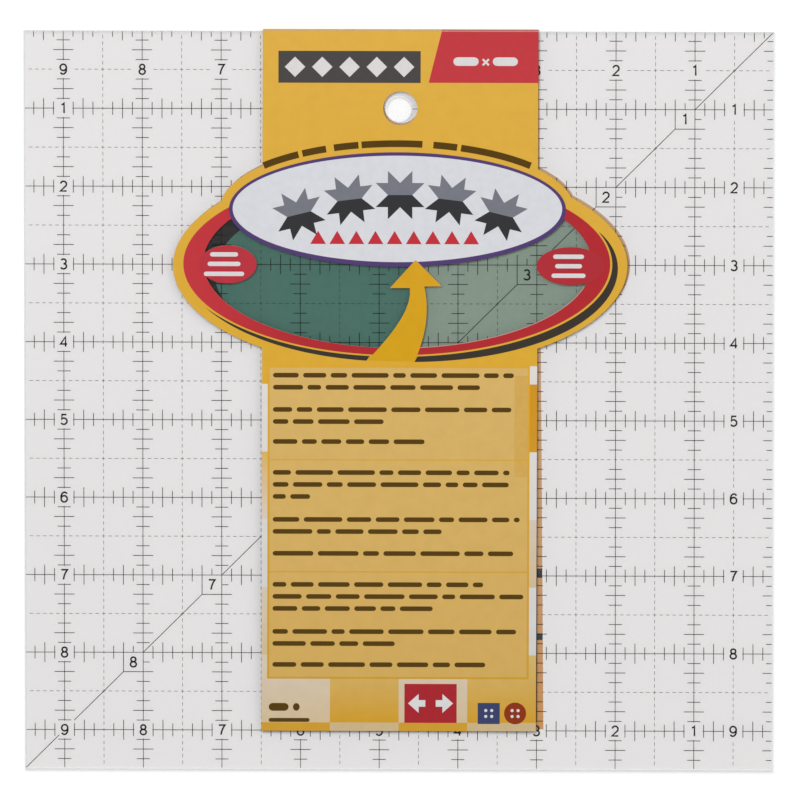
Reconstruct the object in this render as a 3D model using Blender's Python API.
"""Quilting ruler in its folded header card.

A 9.5 inch square of clear acrylic carries a printed inch grid and a frosted, non-slip coat on its
underside, and a hang hole near its top edge. A printed card, cut to one winged outline, is folded
over the top edge: a front panel with two windows, a narrow spine, and a back panel.

The ruler lies flat with its reading side up. +Y points to the ruler's top edge, +X to its right
edge, and the origin is at the bottom centre of the whole object. The card slides off over the top
edge along +Y, and each panel turns on its own crease beside the spine.
"""
import math

import bmesh
import bpy

INCH = 0.0254
MM = 0.001

# The acrylic and what is printed on it.
SIDE = 9.5 * INCH
PLATE_THICKNESS = 3.0 * MM
PLATE_CHAMFER = 0.25 * MM
HANG_HOLE_DIAMETER = 8.0 * MM
HANG_HOLE_DOWN = 1.0 * INCH
LINE_PITCH = 1.0 * INCH
LINE_COUNT = 9
LINE_WIDTH = 0.22 * MM
INK_THICKNESS = 0.04 * MM
COAT_THICKNESS = 0.10 * MM
LAYER_GAP = 0.05 * MM

# The card. Distances across are from its centre line, distances down are from the ruler's top edge.
CARD_THICKNESS = 0.35 * MM
CARD_GAP = 0.30 * MM
SPINE_GAP = 0.10 * MM
CARD_WIDTH = 3.49 * INCH
CARD_DOWN = 8.98 * INCH
CARD_CENTRE = 0.025 * INCH
FRONT_LEAN = -0.0030
BACK_LEAN = 0.0073
CARD_HOLE_DIAMETER = 11.0 * MM
CARD_HOLE_DOWN = 0.97 * INCH
# Each ellipse is (across, down, half width, half height), in inches.
WING = (0.004, 2.988, 2.880, 1.333)
LOGO_PLATE = (-0.040, 2.252, 2.240, 0.835)
LOGO_OVAL = (-0.033, 2.267, 2.135, 0.735)
WINDOW_OVAL = (-0.030, 2.952, 2.462, 1.094)
LEFT_LABEL = (-2.180, 2.976, 0.363, 0.244)
RIGHT_LABEL = (2.166, 2.987, 0.433, 0.243)
# The arrow between the windows: its head's corners, and the two curved sides of its shaft, each a
# start, a control point and an end, in inches.
ARROW_HEAD = ((0.311, 3.253), (0.531, 3.250), (0.198, 2.912), (-0.125, 3.274), (0.127, 3.273))
ARROW_LEFT_SIDE = ((0.127, 3.273), (0.175, 3.602), (-0.410, 4.202))
ARROW_RIGHT_SIDE = ((0.189, 4.215), (0.412, 3.710), (0.311, 3.253))
SHAFT_STEPS = 8

# Heights of the stack, from the face it rests on.
BACK_TOP = CARD_THICKNESS
COAT_LOW = BACK_TOP + CARD_GAP
COAT_HIGH = COAT_LOW + COAT_THICKNESS
INK_LOW = COAT_HIGH + LAYER_GAP
INK_HIGH = INK_LOW + INK_THICKNESS
PLATE_LOW = INK_HIGH + LAYER_GAP
PLATE_HIGH = PLATE_LOW + PLATE_THICKNESS
FRONT_LOW = PLATE_HIGH + CARD_GAP
FRONT_HIGH = FRONT_LOW + CARD_THICKNESS

# The fold stands proud of the ruler's top edge, and the origin is centred on both together.
FOLD_REACH = SPINE_GAP + CARD_THICKNESS
RULER_TOP_Y = (SIDE - FOLD_REACH) / 2
RULER_LOW_Y = RULER_TOP_Y - SIDE
FOLD_Y = RULER_TOP_Y + FOLD_REACH
RULER_RIGHT_X = SIDE / 2

# How far a cutting solid runs past the faces it cuts.
OVERCUT = 1.0 * MM

COLOURS = {
    "ruler_plate": ((0.86, 0.88, 0.88), 0.10),
    "frosted_coat": ((0.80, 0.80, 0.79), 0.75),
    "grid_print": ((0.02, 0.02, 0.02), 0.60),
    "card_front_panel": ((0.70, 0.38, 0.03), 0.40),
    "card_spine": ((0.70, 0.38, 0.03), 0.40),
    "card_back_panel": ((0.10, 0.25, 0.17), 0.55),
}


def clear_scene():
    for old in list(bpy.data.objects):
        bpy.data.objects.remove(old, do_unlink=True)


def material_for(name):
    colour, roughness = COLOURS[name]
    material = bpy.data.materials.new(name)
    material.use_nodes = True
    shader = material.node_tree.nodes["Principled BSDF"]
    shader.inputs["Base Color"].default_value = (*colour, 1.0)
    shader.inputs["Roughness"].default_value = roughness
    shader.inputs["Metallic"].default_value = 0.0
    return material


def object_from(name, bm):
    """A new object holding the bmesh, with its faces pointing out and its own material."""
    bmesh.ops.recalc_face_normals(bm, faces=bm.faces[:])
    mesh = bpy.data.meshes.new(name)
    bm.to_mesh(mesh)
    bm.free()
    piece = bpy.data.objects.new(name, mesh)
    bpy.context.scene.collection.objects.link(piece)
    if name in COLOURS:
        mesh.materials.append(material_for(name))
    return piece


def raise_faces(bm, faces, height):
    """Turn flat faces into a solid of the given height."""
    raised = bmesh.ops.extrude_face_region(bm, geom=faces)["geom"]
    corners = [item for item in raised if isinstance(item, bmesh.types.BMVert)]
    bmesh.ops.translate(bm, verts=corners, vec=(0.0, 0.0, height))


def prism(name, outline, low, high):
    """A flat sheet with the given outline, between two heights."""
    bm = bmesh.new()
    corners = [bm.verts.new((x, y, low)) for x, y in outline]
    raise_faces(bm, [bm.faces.new(corners)], high - low)
    return object_from(name, bm)


def cutter(name, outline, low, high):
    """A prism that only shapes other pieces."""
    piece = prism(name, outline, low - OVERCUT, high + OVERCUT)
    piece.hide_render = True
    piece.display_type = "WIRE"
    return piece


def combine(piece, other, operation):
    modifier = piece.modifiers.new(other.name, "BOOLEAN")
    modifier.object = other
    modifier.operation = operation


def circle(x, y, diameter, steps):
    turns = [2 * math.pi * step / steps for step in range(steps)]
    return [(x + diameter / 2 * math.cos(turn), y + diameter / 2 * math.sin(turn)) for turn in turns]


def card_point(across, down, lean):
    """A point of a card panel, given in inches; the panel leans a little from the ruler's axis."""
    y = RULER_TOP_Y - down * INCH
    return (CARD_CENTRE + across * INCH + lean * (FOLD_Y - y), y)


def card_ellipse(ellipse, lean, steps):
    across, down, half_width, half_height = ellipse
    points = []
    for step in range(steps):
        turn = 2 * math.pi * step / steps
        points.append(card_point(across + half_width * math.cos(turn),
                                 down + half_height * math.sin(turn), lean))
    return points


def card_rectangle(lean):
    half = CARD_WIDTH / 2 / INCH
    top = (RULER_TOP_Y - FOLD_Y) / INCH
    bottom = CARD_DOWN / INCH
    corners = ((-half, top), (-half, bottom), (half, bottom), (half, top))
    return [card_point(across, down, lean) for across, down in corners]


def curve_between(start, control, end, steps):
    """The inner points of a curve that leaves its start and meets its end towards the control."""
    points = []
    for step in range(1, steps):
        t = step / steps
        weights = ((1 - t) ** 2, 2 * t * (1 - t), t ** 2)
        points.append(tuple(sum(weight * point[axis] for weight, point in zip(weights, (start, control, end)))
                            for axis in range(2)))
    return points


def arrow_outline(lean):
    inches = list(ARROW_HEAD)
    inches += curve_between(*ARROW_LEFT_SIDE, SHAFT_STEPS)
    inches += [ARROW_LEFT_SIDE[-1], ARROW_RIGHT_SIDE[0]]
    inches += curve_between(*ARROW_RIGHT_SIDE, SHAFT_STEPS)
    return [card_point(across, down, lean) for across, down in inches]


def make_plate():
    """The acrylic: chamfered edges all round, outside and in the hang hole."""
    levels = ((PLATE_LOW, PLATE_CHAMFER), (PLATE_LOW + PLATE_CHAMFER, 0.0),
              (PLATE_HIGH - PLATE_CHAMFER, 0.0), (PLATE_HIGH, PLATE_CHAMFER))
    hole_y = RULER_TOP_Y - HANG_HOLE_DOWN
    hole_steps = 48
    bm = bmesh.new()
    walls = ([], [])
    for height, inset in levels:
        half = SIDE / 2 - inset
        middle = (RULER_TOP_Y + RULER_LOW_Y) / 2
        square = [(x * half, middle + y * half) for x, y in ((-1, -1), (1, -1), (1, 1), (-1, 1))]
        hole = circle(0.0, hole_y, HANG_HOLE_DIAMETER + 2 * inset, hole_steps)
        for rings, outline in zip(walls, (square, hole)):
            rings.append([bm.verts.new((x, y, height)) for x, y in outline])
    for rings in walls:
        for lower, upper in zip(rings, rings[1:]):
            for index in range(len(lower)):
                following = (index + 1) % len(lower)
                bm.faces.new((lower[index], lower[following], upper[following], upper[index]))
    for level in (0, -1):
        edges = []
        for rings in walls:
            ring = rings[level]
            edges += [bm.edges.get((ring[index - 1], ring[index])) for index in range(len(ring))]
        bmesh.ops.triangle_fill(bm, edges=edges, use_beauty=True)
    plate = object_from("ruler_plate", bm)
    plate.data.shade_smooth()
    plate.data.set_sharp_from_angle(angle=math.radians(30))
    return plate


def make_coat():
    """The frosted, non-slip coat over the whole underside."""
    half = SIDE / 2 - PLATE_CHAMFER
    middle = (RULER_TOP_Y + RULER_LOW_Y) / 2
    square = [(x * half, middle + y * half) for x, y in ((-1, -1), (1, -1), (1, 1), (-1, 1))]
    coat = prism("frosted_coat", square, COAT_LOW, COAT_HIGH)
    hole = circle(0.0, RULER_TOP_Y - HANG_HOLE_DOWN, HANG_HOLE_DIAMETER + 2 * PLATE_CHAMFER, 48)
    combine(coat, cutter("coat_hole", hole, COAT_LOW, COAT_HIGH), "DIFFERENCE")
    return coat


def make_grid():
    """The solid inch lines, one lattice of ink, left out where the hang hole passes through."""
    clear = HANG_HOLE_DIAMETER / 2 + 2 * PLATE_CHAMFER
    edge = SIDE / 2 - PLATE_CHAMFER
    line_xs = [RULER_RIGHT_X - number * LINE_PITCH for number in range(1, LINE_COUNT + 1)]
    line_ys = [RULER_TOP_Y - number * LINE_PITCH for number in range(1, LINE_COUNT + 1)]
    xs = sorted([-edge, -clear, clear, edge] + [x + side * LINE_WIDTH / 2 for x in line_xs for side in (-1, 1)])
    ys = sorted([RULER_LOW_Y + PLATE_CHAMFER, RULER_TOP_Y - PLATE_CHAMFER]
                + [y + side * LINE_WIDTH / 2 for y in line_ys for side in (-1, 1)])
    hole_y = RULER_TOP_Y - HANG_HOLE_DOWN
    bm = bmesh.new()
    corners = {}
    for column in range(len(xs) - 1):
        for row in range(len(ys) - 1):
            middle_x = (xs[column] + xs[column + 1]) / 2
            middle_y = (ys[row] + ys[row + 1]) / 2
            upright = any(abs(middle_x - x) < LINE_WIDTH / 2 for x in line_xs)
            level = any(abs(middle_y - y) < LINE_WIDTH / 2 for y in line_ys)
            over_hole = abs(middle_x) < clear and abs(middle_y - hole_y) < clear
            if (upright or level) and not over_hole:
                ring = []
                for i, j in ((column, row), (column + 1, row), (column + 1, row + 1), (column, row + 1)):
                    if (i, j) not in corners:
                        corners[(i, j)] = bm.verts.new((xs[i], ys[j], INK_LOW))
                    ring.append(corners[(i, j)])
                bm.faces.new(ring)
    raise_faces(bm, bm.faces[:], INK_THICKNESS)
    return object_from("grid_print", bm)


def make_panel(name, low, high, lean):
    """One card panel: the strip and both ellipses of the winged outline, with the hang hole."""
    panel = prism(name, card_rectangle(lean), low, high)
    for shape, ellipse in (("wing", WING), ("logo_plate", LOGO_PLATE)):
        lobe = prism(f"{name}_{shape}", card_ellipse(ellipse, lean, 112), low, high)
        lobe.hide_render = True
        lobe.display_type = "WIRE"
        combine(panel, lobe, "UNION")
    x, y = card_point(0.0, CARD_HOLE_DOWN / INCH, lean)
    combine(panel, cutter(f"{name}_hole", circle(x, y, CARD_HOLE_DIAMETER, 48), low, high), "DIFFERENCE")
    return panel


def cut_windows(panel, low, high, lean):
    """The two windows: an oval opening, less the logo oval, both labels and the arrow."""
    window = cutter("windows", card_ellipse(WINDOW_OVAL, lean, 128), low, high)
    for shape, ellipse in (("logo", LOGO_OVAL), ("left_label", LEFT_LABEL), ("right_label", RIGHT_LABEL)):
        keep = cutter(f"keep_{shape}", card_ellipse(ellipse, lean, 112), low - OVERCUT, high + OVERCUT)
        combine(window, keep, "DIFFERENCE")
    arrow = cutter("keep_arrow", arrow_outline(lean), low - OVERCUT, high + OVERCUT)
    combine(window, arrow, "DIFFERENCE")
    combine(panel, window, "DIFFERENCE")


def make_spine():
    """The card's spine stands across the ruler's top edge, between the two creases."""
    half = CARD_WIDTH / 2
    low_y = RULER_TOP_Y + SPINE_GAP
    outline = [(CARD_CENTRE - half, low_y), (CARD_CENTRE + half, low_y),
               (CARD_CENTRE + half, FOLD_Y), (CARD_CENTRE - half, FOLD_Y)]
    return prism("card_spine", outline, BACK_TOP + CARD_GAP, FRONT_LOW - CARD_GAP)


def hinge_on_crease(panel, crease, height):
    """Put a panel under an empty that lies on its crease, without moving the panel."""
    pivot = bpy.data.objects.new(crease, None)
    pivot.location = (CARD_CENTRE, FOLD_Y, height)
    bpy.context.scene.collection.objects.link(pivot)
    bpy.context.view_layer.update()
    panel.parent = pivot
    panel.matrix_parent_inverse = pivot.matrix_world.inverted()


def main():
    clear_scene()
    make_plate()
    make_grid()
    make_coat()
    front = make_panel("card_front_panel", FRONT_LOW, FRONT_HIGH, FRONT_LEAN)
    cut_windows(front, FRONT_LOW, FRONT_HIGH, FRONT_LEAN)
    back = make_panel("card_back_panel", 0.0, BACK_TOP, BACK_LEAN)
    make_spine()
    hinge_on_crease(front, "front_crease", (FRONT_LOW + FRONT_HIGH) / 2)
    hinge_on_crease(back, "back_crease", BACK_TOP / 2)


main()
